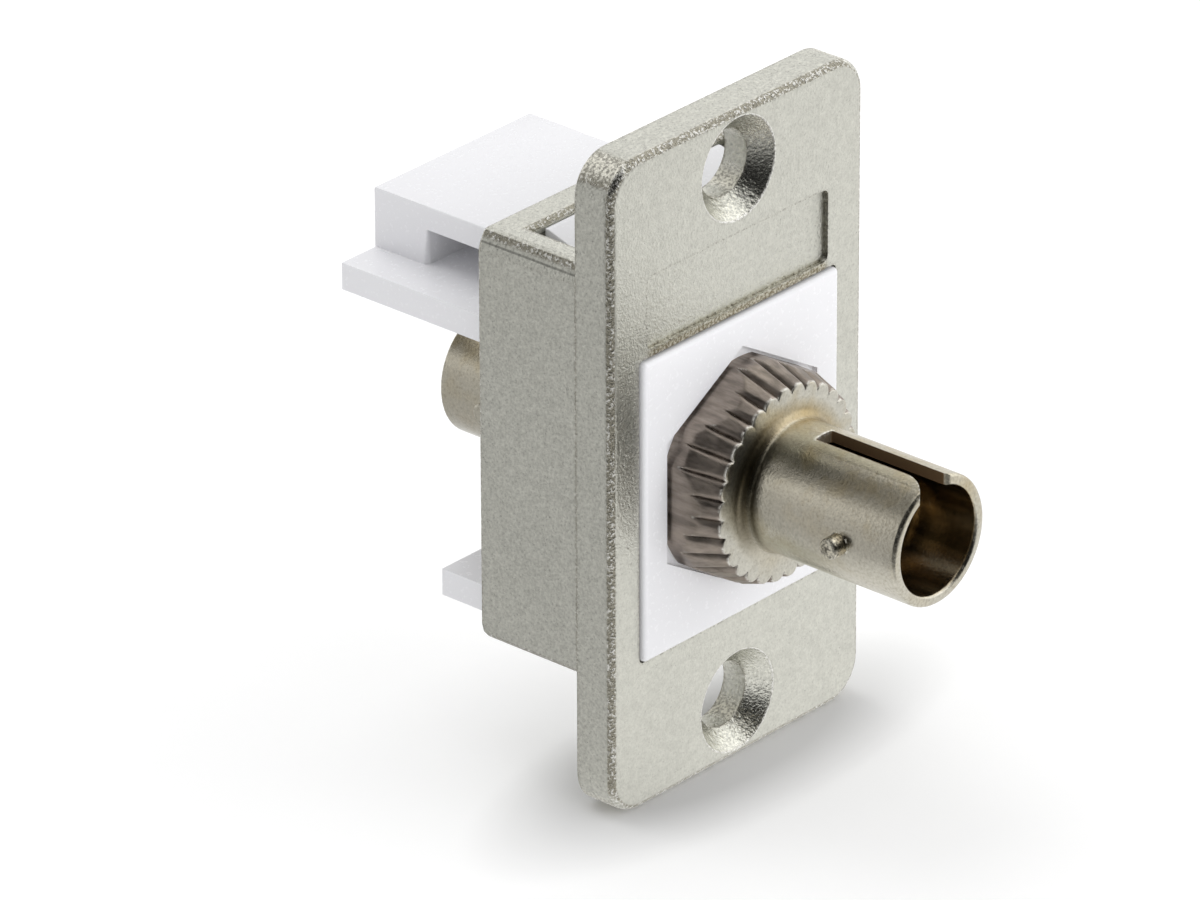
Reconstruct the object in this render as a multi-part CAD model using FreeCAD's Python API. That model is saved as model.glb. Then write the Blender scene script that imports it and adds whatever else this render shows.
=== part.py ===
import FreeCAD, Part
import math
import os

# ST fibre adapter: a keystone insert with an ST to ST coupler, latched into a die-cast screw-on bracket.
# The frame: +Z up, the front socket faces -Y, and +X is to the right seen from the front.
# The origin lies midway between the two screw holes, on the back face of the bracket's plate.
# All sizes are in millimetres.

V = FreeCAD.Vector
BACK = V(0, 1, 0)
UP = V(0, 0, 1)

# Coupler barrels
AXIS_Z = -1.41
BARREL_D = 6.8
BARREL_BORE_D = 5.6
BARREL_L = 9.56
BORE_L = 9.6
REAR_BARREL_L = 8.58
REAR_FLOOR_T = 0.9
RIM_CHAMFER = 0.12
BORE_CHAMFER = 0.08
ROOT_FILLET_R = 0.75
ROOT_STEPS = 4
LUG_D = 1.1
LUG_L = 0.85
LUG_FROM_RIM = 3.5
LUG_CHAMFER = 0.1
KEYWAY_W = 1.2
KEYWAY_L = 7.3
KEYWAY_END_R = 0.12
KEYWAY_SWEEP_R = 2.1
KEYWAY_SWEEP_L = 1.75
KEYWAY_MOUTH_R = 0.45

# Coupler shank, nut and lock washer
SHANK_D = 9.4
SHANK_CHAMFER = 0.3
THREAD_CLEARANCE = 0.05
SEAT_GAP = 0.02
NUT_WALL = 0.8
NUT_AF = SHANK_D + 2 * NUT_WALL
NUT_TURNED_R = NUT_AF / 2 + 0.65
NUT_T = 2.2
NUT_BEVEL = 0.4
NUT_LEAD = 0.25
WASHER_T = 0.6
WASHER_RING_T = 0.3
WASHER_D = NUT_AF + 1.2
WASHER_TEETH = 12
TOOTH_L = 0.75
TOOTH_W = 1.1
TOOTH_T = 0.34
TOOTH_TWIST = 14

# Knurled hexagonal flange of the front half
FLANGE_L = 3.24
HEX_AF = SHANK_D + 1.5
HEX_TURNED_R = HEX_AF / 2 + 0.35
FLANGE_FRONT_R = HEX_AF / 2 - 0.3
CONE_START = 1.15
KNURL_COUNT = 30
KNURL_DEPTH = 0.22
KNURL_HALF_ANGLE = 50
KNURL_CUT_HALF_W = 0.53
KNURL_CLIMB = 19.8
KNURL_TURN = 3

# Insert: the height of its face leaves room for the nut between the upper and lower walls
WALL_T = 1.45
NUT_ROOM = 0.5
FACE_W = 14.5
FACE_H = 2 * (NUT_TURNED_R + NUT_ROOM + WALL_T)
FACE_PROUD = 0.3
FACE_EDGE_R = 0.25
FACE_CORNER_R = 0.2
FACE_CLEARANCE = 0.1
FACE_TOP_Z = AXIS_Z + FACE_H / 2
FACE_BOTTOM_Z = AXIS_Z - FACE_H / 2
POCKET_AF = HEX_AF + 0.35
SHOULDER_W = 0.98
SHOULDER_GAP = 0.05
INSERT_HALF_W = FACE_W / 2 + SHOULDER_W
INSERT_CLEARANCE = 0.12
INSERT_EDGE_R = 0.12
WALL_BACK_Y = 0.8
SHELF_TOP_Z = FACE_TOP_Z - SHOULDER_GAP
SHELF_BACK_Y = 16.25
LOWER_WALL_BACK_Y = 9.81
SIDE_WALL_T = 1.2

# Latch arm: it springs from a block on the shelf, and its head stands in the window, ahead of the rear bar
ROOT_BLOCK_L = 3.47
ROOT_CHAMFER = 0.22
ARM_GAP = 1.91
ARM_T = 1.3
ARM_UNDER_Z = SHELF_TOP_Z + ARM_GAP
ARM_TOP_Z = ARM_UNDER_Z + ARM_T
ARM_ROOT_Y = SHELF_BACK_Y - ROOT_BLOCK_L
HINGE_SLIT = 0.1

# Cast housing behind the plate
BOX_SIDE_T = 0.9
BOX_FLOOR_T = 0.74
BOX_ROOF_T = 1.43
BOX_HALF_W = INSERT_HALF_W + INSERT_CLEARANCE + BOX_SIDE_T
BOX_BACK_Y = 6.34
ROOF_UNDERSIDE_Z = ARM_TOP_Z + 0.55
BOX_TOP_Z = ROOF_UNDERSIDE_Z + BOX_ROOF_T
BOX_BOTTOM_Z = FACE_BOTTOM_Z - FACE_CLEARANCE - BOX_FLOOR_T
BOX_BACK_EDGE_R = 0.25
REAR_BAR_T = 1.84
BAR_EDGE_R = 0.4
WINDOW_RAIL_W = 1.64
WINDOW_HALF_W = BOX_HALF_W - WINDOW_RAIL_W
WINDOW_BACK_Y = BOX_BACK_Y - REAR_BAR_T
LIP_SLOT_FRONT_Y = 2.2
LIP_SLOT_L = 1.9
LIP_SLOT_HALF_W = 5.1
SIDE_WALL_BACK_Y = BOX_BACK_Y - 0.54

# Fixed lip under the insert, in the slot of the housing's floor
LIP_GAP = 0.15
LIP_H = 0.55
LIP_LEAD = 0.5
LIP_ROOT = 0.5

# Head of the latch arm
HEAD_SIDE_GAP = 1.19
HEAD_RUNNING_GAP = 0.08
HEAD_BELOW_ROOF = 0.33
HEAD_OVERHANG = 0.69
HEAD_L = 3.82
HEAD_FRONT_H = 1.75
HEAD_EDGE_R = 0.12
HEAD_HALF_W = WINDOW_HALF_W - HEAD_SIDE_GAP
ARM_HALF_W = HEAD_HALF_W - HEAD_OVERHANG
HEAD_TOP_Z = BOX_TOP_Z - HEAD_BELOW_ROOF
HEAD_BACK_Y = WINDOW_BACK_Y - HEAD_RUNNING_GAP
HEAD_FRONT_Y = HEAD_BACK_Y - HEAD_L

# Shallow recess for a label, above the insert
LABEL_ABOVE_FACE = 0.38
LABEL_H = 3.88
LABEL_HALF_W = FACE_W / 2 - 0.53
LABEL_DEPTH = 0.25
LABEL_CORNER_R = 0.35
LABEL_BOTTOM_Z = FACE_TOP_Z + FACE_CLEARANCE + LABEL_ABOVE_FACE
LABEL_TOP_Z = LABEL_BOTTOM_Z + LABEL_H

# Bracket plate
SCREW_HOLE_D = 3.5
COUNTERSINK_D = 5.45
COUNTERSINK_DEPTH = 1.0
LABEL_TO_SCREW = 0.725
SCREW_TO_EDGE = 0.375
SCREW_SPACING = 2 * (LABEL_TOP_Z + LABEL_TO_SCREW) + COUNTERSINK_D
PLATE_SIDE_MARGIN = 0.15
PLATE_W = 2 * (BOX_HALF_W + PLATE_SIDE_MARGIN)
PLATE_H = SCREW_SPACING + COUNTERSINK_D + 2 * SCREW_TO_EDGE
PLATE_T = 2.4
PLATE_CORNER_R = 2.1
PLATE_EDGE_R = 0.45
PLATE_BACK_CHAMFER = 0.15

# Places along the coupler's axis
FACE_Y = -PLATE_T - FACE_PROUD
SEAT_Y = -PLATE_T
FLANGE_FRONT_Y = SEAT_Y - FLANGE_L
FRONT_RIM_Y = FLANGE_FRONT_Y - BARREL_L
WASHER_Y = WALL_BACK_Y + SEAT_GAP
NUT_Y = WASHER_Y + WASHER_T + SEAT_GAP
SHANK_BACK_Y = NUT_Y + NUT_T + 1.96
REAR_ROOT_Y = SHANK_BACK_Y + SEAT_GAP
REAR_RIM_Y = REAR_ROOT_Y + REAR_BARREL_L
MIDDLE_Y = (FRONT_RIM_Y + REAR_RIM_Y) / 2

# Alignment sleeve and its two holders
SLEEVE_D = 3.2
SLEEVE_BORE_D = 2.49
SLEEVE_L = 11.4
SLEEVE_SLIT = 0.4
SLEEVE_CLEARANCE = 0.05
HOLDER_D = 4.3
HOLDER_FLANGE_D = 6.2
HOLDER_FLANGE_T = 0.6
HOLDER_FROM_RIM = 4.2
HOLDER_EDGE = 0.15
HOLDER_MOUTH_CHAMFER = 0.35
FERRULE_BORE_D = 2.54
PRESS_CLEARANCE = 0.02
STUB_D = 6.2
STUB_SEAT_Y = 0.5


def box(x0, x1, y0, y1, z0, z1):
    """A block between two corners."""
    return Part.makeBox(x1 - x0, y1 - y0, z1 - z0, V(x0, y0, z0))


def rod(diameter, y0, y1, z=AXIS_Z, x=0.0):
    """A round bar along Y."""
    return Part.makeCylinder(diameter / 2, y1 - y0, V(x, y0, z), BACK)


def rounded_slab(half_w, z0, z1, y0, y1, radius):
    """A slab with its four corners rounded, seen along Y."""
    slab = box(-half_w, half_w, y0, y1, z0, z1)
    return slab.makeFillet(radius, edges_along(slab, BACK))


def edges_along(shape, direction):
    """The straight edges of a shape that run along one direction."""
    found = []
    for edge in shape.Edges:
        if isinstance(edge.Curve, Part.Line):
            run = edge.Vertexes[1].Point - edge.Vertexes[0].Point
            if run.cross(direction).Length < 1e-6 * run.Length:
                found.append(edge)
    return found


def edges_in_plane(shape, y, keep=lambda centre: True):
    """The edges that lie in a plane across Y, and whose middle passes a test."""
    found = []
    for edge in shape.Edges:
        limits = edge.BoundBox
        if abs(limits.YMin - y) < 1e-4 and abs(limits.YMax - y) < 1e-4 and keep(limits.Center):
            found.append(edge)
    return found


def hexagon(across_flats, y0, y1):
    """A hexagonal bar along the coupler's axis, with a corner at the top."""
    corner_r = across_flats / math.sqrt(3)
    points = []
    for step in range(7):
        angle = math.radians(90 + 60 * step)
        points.append(V(corner_r * math.cos(angle), y0, AXIS_Z + corner_r * math.sin(angle)))
    return Part.Face(Part.makePolygon(points)).extrude(V(0, y1 - y0, 0))


def turned(profile):
    """A solid turned about the coupler's axis from (radius, y) points."""
    points = [V(radius, y, AXIS_Z) for radius, y in profile]
    return Part.Face(Part.makePolygon(points + points[:1])).revolve(V(0, 0, AXIS_Z), BACK, 360)


def side_profile(points, half_w):
    """A solid of one width from (y, z) points."""
    outline = [V(-half_w, y, z) for y, z in points]
    return Part.Face(Part.makePolygon(outline + outline[:1])).extrude(V(2 * half_w, 0, 0))


def mounting_frame():
    """The die-cast bracket: the plate, its countersunk holes and the open housing behind it."""
    plate = rounded_slab(PLATE_W / 2, -PLATE_H / 2, PLATE_H / 2, -PLATE_T, 0, PLATE_CORNER_R)
    plate = plate.makeFillet(PLATE_EDGE_R, edges_in_plane(plate, -PLATE_T))
    plate = plate.makeChamfer(PLATE_BACK_CHAMFER, edges_in_plane(plate, 0))

    bracket = plate.fuse(housing_block())

    inner_half_w = INSERT_HALF_W + INSERT_CLEARANCE
    floor_z = FACE_BOTTOM_Z - FACE_CLEARANCE
    cuts = [
        box(-inner_half_w, inner_half_w, 0, 2 * BOX_BACK_Y, floor_z, ROOF_UNDERSIDE_Z),
        window(),
        lip_slot(),
        face_opening(),
        label_recess(),
    ]
    for side in (-1, 1):
        cuts.append(countersunk_hole(side * SCREW_SPACING / 2))
    return bracket.cut(Part.makeCompound(cuts)).removeSplitter()


def housing_block():
    """The outside of the housing: each long edge is broken by two narrow facets, the upper ones wider."""
    half = BOX_HALF_W
    right = [
        (half, BOX_BOTTOM_Z + 0.8), (half - 0.12, BOX_BOTTOM_Z + 0.34), (half - 0.42, BOX_BOTTOM_Z),
        (-half + 0.42, BOX_BOTTOM_Z), (-half + 0.12, BOX_BOTTOM_Z + 0.34), (-half, BOX_BOTTOM_Z + 0.8),
        (-half, BOX_TOP_Z - 1.0), (-half + 0.16, BOX_TOP_Z - 0.55), (-half + 0.45, BOX_TOP_Z - 0.06),
        (-half + 0.75, BOX_TOP_Z), (half - 0.75, BOX_TOP_Z), (half - 0.45, BOX_TOP_Z - 0.06),
        (half - 0.16, BOX_TOP_Z - 0.55), (half, BOX_TOP_Z - 1.0)]
    points = [V(x, -PLATE_T / 2, z) for x, z in right]
    block = Part.Face(Part.makePolygon(points + points[:1])).extrude(V(0, PLATE_T / 2 + BOX_BACK_Y, 0))
    return block.makeFillet(BOX_BACK_EDGE_R, edges_in_plane(block, BOX_BACK_Y))


def window():
    """The opening in the housing's roof, in front of the rear bar; the bar's upper front edge is rounded."""
    opening = box(-WINDOW_HALF_W, WINDOW_HALF_W, 0, WINDOW_BACK_Y, ROOF_UNDERSIDE_Z - BOX_ROOF_T, BOX_TOP_Z)
    flare = box(-WINDOW_HALF_W, WINDOW_HALF_W, WINDOW_BACK_Y, WINDOW_BACK_Y + BAR_EDGE_R,
                BOX_TOP_Z - BAR_EDGE_R, BOX_TOP_Z)
    nose = Part.makeCylinder(
        BAR_EDGE_R, 2 * WINDOW_HALF_W, V(-WINDOW_HALF_W, WINDOW_BACK_Y + BAR_EDGE_R, BOX_TOP_Z - BAR_EDGE_R),
        V(1, 0, 0))
    return opening.fuse(flare.cut(nose))


def lip_slot():
    """The slot in the housing's floor that takes the insert's fixed lip."""
    return box(-LIP_SLOT_HALF_W, LIP_SLOT_HALF_W, LIP_SLOT_FRONT_Y, LIP_SLOT_FRONT_Y + LIP_SLOT_L,
               BOX_BOTTOM_Z - BOX_FLOOR_T, BOX_BOTTOM_Z + 2 * BOX_FLOOR_T)


def face_opening():
    """The rectangular hole for the insert's face."""
    half_w = FACE_W / 2 + FACE_CLEARANCE
    return rounded_slab(
        half_w, FACE_BOTTOM_Z - FACE_CLEARANCE, FACE_TOP_Z + FACE_CLEARANCE, -2 * PLATE_T, PLATE_T,
        FACE_CORNER_R + FACE_CLEARANCE)


def label_recess():
    """The shallow field with rounded corners above the insert."""
    return rounded_slab(
        LABEL_HALF_W, LABEL_BOTTOM_Z, LABEL_TOP_Z, -2 * PLATE_T, -PLATE_T + LABEL_DEPTH, LABEL_CORNER_R)


def countersunk_hole(z):
    """A screw hole with its countersink in the plate's front."""
    hole = rod(SCREW_HOLE_D, -2 * PLATE_T, PLATE_T, z)
    taper = (COUNTERSINK_D - SCREW_HOLE_D) / 2
    cone = Part.makeCone(
        COUNTERSINK_D / 2 + taper, SCREW_HOLE_D / 2, 2 * COUNTERSINK_DEPTH,
        V(0, -PLATE_T - COUNTERSINK_DEPTH, z), BACK)
    return hole.fuse(cone)


def keystone_housing():
    """The moulded insert: face, shelf, lower wall with its fixed lip, side walls and the latch's root block."""
    face = rounded_slab(FACE_W / 2, FACE_BOTTOM_Z, FACE_TOP_Z, FACE_Y, WALL_BACK_Y, FACE_CORNER_R)
    face = face.makeFillet(FACE_EDGE_R, edges_in_plane(face, FACE_Y))

    bottom_z = FACE_BOTTOM_Z
    top_z = SHELF_TOP_Z
    front_y = SHOULDER_GAP
    wide = INSERT_HALF_W
    shell = [
        box(-wide, wide, front_y, WALL_BACK_Y, bottom_z, top_z),
        shelf(top_z, front_y),
        lower_wall(bottom_z, front_y),
        box(-wide, -wide + SIDE_WALL_T, front_y, SIDE_WALL_BACK_Y, bottom_z, top_z),
        box(wide - SIDE_WALL_T, wide, front_y, SIDE_WALL_BACK_Y, bottom_z, top_z),
        root_block(top_z),
    ]
    lip_y0 = LIP_SLOT_FRONT_Y + LIP_GAP
    lip_y1 = LIP_SLOT_FRONT_Y + LIP_SLOT_L - LIP_GAP
    lip = [(lip_y0, bottom_z - LIP_H), (lip_y1 - LIP_LEAD, bottom_z - LIP_H), (lip_y1, bottom_z),
           (lip_y1, bottom_z + LIP_ROOT), (lip_y0, bottom_z + LIP_ROOT)]
    body = face.fuse(shell + [side_profile(lip, LIP_SLOT_HALF_W - LIP_GAP)])

    pocket = hexagon(POCKET_AF, 2 * FACE_Y, SEAT_Y)
    bore = rod(SHANK_D + 2 * THREAD_CLEARANCE, 2 * FACE_Y, 2 * WALL_BACK_Y)
    return body.cut(Part.makeCompound([pocket, bore])).removeSplitter()


def shelf(top_z, front_y):
    """The long upper wall that carries the latch."""
    slab = box(-INSERT_HALF_W, INSERT_HALF_W, front_y, SHELF_BACK_Y, top_z - WALL_T, top_z)
    return slab.makeFillet(INSERT_EDGE_R, edges_in_plane(slab, SHELF_BACK_Y))


def lower_wall(bottom_z, front_y):
    """The shorter wall under the coupler."""
    slab = box(-INSERT_HALF_W, INSERT_HALF_W, front_y, LOWER_WALL_BACK_Y, bottom_z, bottom_z + WALL_T)
    return slab.makeFillet(INSERT_EDGE_R, edges_in_plane(slab, LOWER_WALL_BACK_Y))


def root_block(shelf_top_z):
    """The block at the shelf's rear end, from which the latch arm springs; its front corners are broken."""
    seam_y = ARM_ROOT_Y + HINGE_SLIT
    back_y = SHELF_BACK_Y - SEAT_GAP
    low_z = shelf_top_z - WALL_T / 2
    points = [(ARM_ROOT_Y, low_z), (ARM_ROOT_Y, ARM_UNDER_Z), (seam_y, ARM_UNDER_Z), (seam_y, ARM_TOP_Z),
              (back_y, ARM_TOP_Z), (back_y, low_z)]
    block = side_profile(points, ARM_HALF_W)
    front = [e for e in edges_along(block, UP) if abs(e.Vertexes[0].Point.y - ARM_ROOT_Y) < 1e-4]
    block = block.makeChamfer(ROOT_CHAMFER, front)
    upper = edges_in_plane(block, back_y, lambda centre: centre.z > ARM_TOP_Z - ARM_T / 4)
    return block.makeFillet(INSERT_EDGE_R, upper)


def latch_lever():
    """The springy arm, with the ramped head that catches on the front of the housing's rear bar."""
    arm = box(-ARM_HALF_W, ARM_HALF_W, HEAD_BACK_Y - HEAD_L / 2, ARM_ROOT_Y, ARM_UNDER_Z, ARM_TOP_Z)
    crest_y = HEAD_BACK_Y - 2 * HEAD_EDGE_R
    ramp = [(HEAD_FRONT_Y, ARM_UNDER_Z), (HEAD_FRONT_Y, ARM_UNDER_Z + HEAD_FRONT_H), (crest_y, HEAD_TOP_Z),
            (HEAD_BACK_Y, HEAD_TOP_Z), (HEAD_BACK_Y, ARM_UNDER_Z)]
    head = side_profile(ramp, HEAD_HALF_W)
    ends = [e for e in head.Edges if e.BoundBox.XLength < 1e-6 and e.BoundBox.ZMin > ARM_TOP_Z]
    head = head.makeFillet(HEAD_EDGE_R / 2, ends)
    return arm.fuse(head).removeSplitter()


def barrel(rim_y, inward, root_y):
    """The plain outside of a bayonet barrel, with its two lugs; inward is +1 for the front barrel."""
    outer = BARREL_D / 2
    points = [(0.0, rim_y), (outer - RIM_CHAMFER, rim_y), (outer, rim_y + inward * RIM_CHAMFER), (outer, root_y),
              (0.0, root_y)]
    tube = turned(points)
    reach = outer + LUG_L
    lug = Part.makeCylinder(LUG_D / 2, 2 * reach, V(-reach, rim_y + inward * LUG_FROM_RIM, AXIS_Z), V(1, 0, 0))
    lug = lug.makeChamfer(LUG_CHAMFER, [e for e in lug.Edges if e.Closed])
    return tube.fuse(lug)


def barrel_bore(rim_y, inward, floor_y):
    """The bore of a bayonet barrel, with a broken edge at its mouth."""
    radius = BARREL_BORE_D / 2
    wide = radius + BORE_CHAMFER
    out_y = rim_y - inward * radius
    points = [(0.0, out_y), (wide, out_y), (wide, rim_y), (radius, rim_y + inward * BORE_CHAMFER),
              (radius, floor_y), (0.0, floor_y)]
    return turned(points)


def keyway(rim_y, inward):
    """The slot along the top of a barrel: a wide sweep on one side of its mouth, a small round on the other."""
    half = KEYWAY_W / 2
    out = -BARREL_D / 2
    sweep = KEYWAY_SWEEP_L
    corner = KEYWAY_MOUTH_R
    wide = half + swept(sweep)

    def point(x, from_rim):
        return V(inward * x, rim_y + inward * from_rim, AXIS_Z)

    left = Part.Arc(point(-half, sweep), point(-half - swept(sweep / 2), sweep / 2), point(-wide, 0))
    mid = corner * (1 - math.sqrt(0.5))
    right = Part.Arc(point(half + corner, 0), point(half + mid, mid), point(half, corner))
    edges = [
        Part.makeLine(point(-half, KEYWAY_L), point(-half, sweep)),
        left.toShape(),
        Part.makeLine(point(-wide, 0), point(-wide, out)),
        Part.makeLine(point(-wide, out), point(half + corner, out)),
        Part.makeLine(point(half + corner, out), point(half + corner, 0)),
        right.toShape(),
        Part.makeLine(point(half, corner), point(half, KEYWAY_L)),
        Part.makeLine(point(half, KEYWAY_L), point(-half, KEYWAY_L)),
    ]
    slot = Part.Face(Part.Wire(edges)).extrude(UP * BARREL_D)
    end_y = point(0, KEYWAY_L).y
    ends = [e for e in edges_along(slot, UP) if abs(e.Vertexes[0].Point.y - end_y) < 1e-4]
    return slot.makeFillet(KEYWAY_END_R, ends)


def swept(along):
    """How far the mouth's sweep stands out, at a distance along the barrel from where the sweep begins."""
    return KEYWAY_SWEEP_R - math.sqrt(KEYWAY_SWEEP_R ** 2 - along ** 2)


def knurl_cutters():
    """V-shaped grooves, deepest at the flange's front; they run out early on the flats and late at the corners."""
    climb = math.tan(math.radians(KNURL_CLIMB))
    start_y = FLANGE_FRONT_Y - KNURL_DEPTH
    bottom_z = AXIS_Z + FLANGE_FRONT_R - KNURL_DEPTH * (1 + climb)
    top_z = bottom_z + KNURL_CUT_HALF_W / math.tan(math.radians(KNURL_HALF_ANGLE))
    corners = [V(0, start_y, bottom_z), V(KNURL_CUT_HALF_W, start_y, top_z), V(-KNURL_CUT_HALF_W, start_y, top_z)]
    reach = FLANGE_L
    cutter = Part.Face(Part.makePolygon(corners + corners[:1])).extrude(V(0, reach, reach * climb))
    cutters = []
    for step in range(KNURL_COUNT):
        turn = cutter.copy()
        turn.rotate(V(0, 0, AXIS_Z), BACK, KNURL_TURN + step * 360 / KNURL_COUNT)
        cutters.append(turn)
    return Part.makeCompound(cutters)


def flange():
    """The hexagon with turned corners, coned towards its front and knurled all round."""
    turned_body = turned([
        (0.0, FLANGE_FRONT_Y), (FLANGE_FRONT_R, FLANGE_FRONT_Y), (HEX_TURNED_R, SEAT_Y - CONE_START),
        (HEX_TURNED_R, SEAT_Y), (0.0, SEAT_Y)])
    blank = hexagon(HEX_AF, FLANGE_FRONT_Y, SEAT_Y).common(turned_body)
    return blank.cut(knurl_cutters())


def barrel_root():
    """The hollow round between the front barrel and the flange, turned in short cones."""
    outer = BARREL_D / 2
    start_y = FLANGE_FRONT_Y - ROOT_FILLET_R
    profile = [(0.0, start_y)]
    for step in range(ROOT_STEPS + 1):
        turn = math.pi / 2 * step / ROOT_STEPS
        profile.append((outer + ROOT_FILLET_R * (1 - math.cos(turn)), start_y + ROOT_FILLET_R * math.sin(turn)))
    sunk_y = FLANGE_FRONT_Y + ROOT_FILLET_R / 4
    profile += [(outer + ROOT_FILLET_R, sunk_y), (0.0, sunk_y)]
    return turned(profile)


def adapter_body_front():
    """The front half of the coupler, in one piece from its rim to the threaded shank."""
    tube = barrel(FRONT_RIM_Y, 1, FLANGE_FRONT_Y)
    shank_r = SHANK_D / 2
    inside_y = SEAT_Y - FLANGE_L / 4
    shank = turned([(0.0, inside_y), (shank_r, inside_y), (shank_r, SHANK_BACK_Y - SHANK_CHAMFER),
                    (shank_r - SHANK_CHAMFER, SHANK_BACK_Y), (0.0, SHANK_BACK_Y)])
    body = flange().fuse([tube, barrel_root(), shank])
    floor_y = FRONT_RIM_Y + BORE_L
    holder_bore = rod(HOLDER_D + 2 * PRESS_CLEARANCE, floor_y - HOLDER_FLANGE_T, STUB_SEAT_Y + HOLDER_FLANGE_T)
    counterbore = rod(STUB_D + 2 * PRESS_CLEARANCE, STUB_SEAT_Y, 2 * SHANK_BACK_Y)
    body = body.cut([barrel_bore(FRONT_RIM_Y, 1, floor_y), holder_bore, counterbore])
    return body.cut(keyway(FRONT_RIM_Y, 1)).removeSplitter()


def adapter_body_rear():
    """The rear half of the coupler: a bayonet barrel with a stub pressed into the shank."""
    tube = barrel(REAR_RIM_Y, -1, REAR_ROOT_Y)
    stub_y = STUB_SEAT_Y + 2 * HOLDER_FLANGE_T + 3 * SEAT_GAP
    floor_y = REAR_ROOT_Y + REAR_FLOOR_T
    body = tube.fuse(rod(STUB_D, stub_y, floor_y))
    body = body.cut([
        barrel_bore(REAR_RIM_Y, -1, floor_y),
        rod(HOLDER_D + 2 * PRESS_CLEARANCE, STUB_SEAT_Y, floor_y + REAR_FLOOR_T)])
    return body.cut(keyway(REAR_RIM_Y, -1)).removeSplitter()


def lock_washer():
    """The internal-tooth washer behind the insert's wall: each tooth is twisted out of the ring's plane."""
    y0 = WASHER_Y
    y1 = y0 + WASHER_T
    middle = (y0 + y1) / 2
    bore_r = SHANK_D / 2 + THREAD_CLEARANCE
    ring_r = bore_r + TOOTH_L
    ring = rod(WASHER_D, middle - WASHER_RING_T / 2, middle + WASHER_RING_T / 2).cut(rod(2 * ring_r, y0, y1))
    teeth = []
    for step in range(WASHER_TEETH):
        tooth = box(-TOOTH_W / 2, TOOTH_W / 2, -TOOTH_T / 2, TOOTH_T / 2, bore_r, ring_r + TOOTH_T)
        tooth.rotate(V(0, 0, 0), UP, TOOTH_TWIST)
        tooth.translate(V(0, middle, AXIS_Z))
        tooth.rotate(V(0, 0, AXIS_Z), BACK, step * 360 / WASHER_TEETH)
        teeth.append(tooth)
    inside = rod(2 * bore_r, y0 - WASHER_T, y1 + WASHER_T)
    return ring.fuse(teeth).cut(inside).removeSplitter()


def hex_nut():
    """The thin nut that clamps the coupler in the insert, with turned corners on both faces."""
    y0 = NUT_Y
    y1 = y0 + NUT_T
    face_r = NUT_AF / 2 - PRESS_CLEARANCE
    turned_body = turned([(0.0, y0), (face_r, y0), (NUT_TURNED_R, y0 + NUT_BEVEL), (NUT_TURNED_R, y1 - NUT_BEVEL),
                          (face_r, y1), (0.0, y1)])
    bore_r = SHANK_D / 2 + THREAD_CLEARANCE
    wide = bore_r + NUT_LEAD
    bore = turned([(0.0, y0 - NUT_LEAD), (bore_r, y0 - NUT_LEAD), (bore_r, y1 - NUT_LEAD), (wide, y1),
                   (wide, y1 + NUT_LEAD), (0.0, y1 + NUT_LEAD)])
    return hexagon(NUT_AF, y0, y1).common(turned_body).cut(bore)


def split_sleeve():
    """The ceramic sleeve that lines up two 2.5 mm ferrules, slit along its length."""
    y0 = MIDDLE_Y - SLEEVE_L / 2
    tube = rod(SLEEVE_D, y0, y0 + SLEEVE_L).cut(rod(SLEEVE_BORE_D, y0 - SLEEVE_D, y0 + SLEEVE_L + SLEEVE_D))
    slit = box(-SLEEVE_SLIT / 2, SLEEVE_SLIT / 2, y0 - SLEEVE_D, y0 + SLEEVE_L + SLEEVE_D, AXIS_Z - SLEEVE_D, AXIS_Z)
    return tube.cut(slit)


def sleeve_holder(mouth_y, joint_y, inward):
    """The tube that guides a ferrule into the split sleeve, with its clamping flange."""
    outer = HOLDER_D / 2
    flange_r = HOLDER_FLANGE_D / 2
    sleeve_r = SLEEVE_D / 2 + SLEEVE_CLEARANCE
    ferrule_r = FERRULE_BORE_D / 2
    shoulder_y = MIDDLE_Y - inward * (SLEEVE_L / 2 + SLEEVE_CLEARANCE)
    lead = HOLDER_MOUTH_CHAMFER
    points = [
        (ferrule_r + lead, mouth_y), (outer - HOLDER_EDGE, mouth_y), (outer, mouth_y + inward * HOLDER_EDGE),
        (outer, joint_y - inward * HOLDER_FLANGE_T), (flange_r, joint_y - inward * HOLDER_FLANGE_T),
        (flange_r, joint_y), (sleeve_r, joint_y), (sleeve_r, shoulder_y), (ferrule_r, shoulder_y),
        (ferrule_r, mouth_y + inward * lead)]
    return turned(points)


def front_sleeve_holder():
    """The holder in the front barrel."""
    joint_y = STUB_SEAT_Y + HOLDER_FLANGE_T + SEAT_GAP
    return sleeve_holder(FRONT_RIM_Y + HOLDER_FROM_RIM, joint_y, 1)


def rear_sleeve_holder():
    """The holder in the rear barrel."""
    joint_y = STUB_SEAT_Y + HOLDER_FLANGE_T + 2 * SEAT_GAP
    return sleeve_holder(REAR_RIM_Y - HOLDER_FROM_RIM, joint_y, -1)


PIECES = {
    "mounting_frame": mounting_frame,
    "keystone_housing": keystone_housing,
    "latch_lever": latch_lever,
    "adapter_body_front": adapter_body_front,
    "adapter_body_rear": adapter_body_rear,
    "lock_washer": lock_washer,
    "hex_nut": hex_nut,
    "split_sleeve": split_sleeve,
    "front_sleeve_holder": front_sleeve_holder,
    "rear_sleeve_holder": rear_sleeve_holder,
}


def main():
    os.makedirs("parts", exist_ok=True)
    for name, make in PIECES.items():
        shape = make()
        if len(shape.Solids) != 1:
            raise ValueError(f"{name} has {len(shape.Solids)} solids")
        solid = shape.Solids[0]
        if not solid.isValid():
            raise ValueError(f"{name} is not a valid solid")
        solid.exportStep(f"parts/{name}.step")


main()
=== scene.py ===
import math

import bmesh
import bpy
from bpy.props import FloatProperty, FloatVectorProperty, IntProperty, PointerProperty
from mathutils import Matrix, Vector


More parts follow.
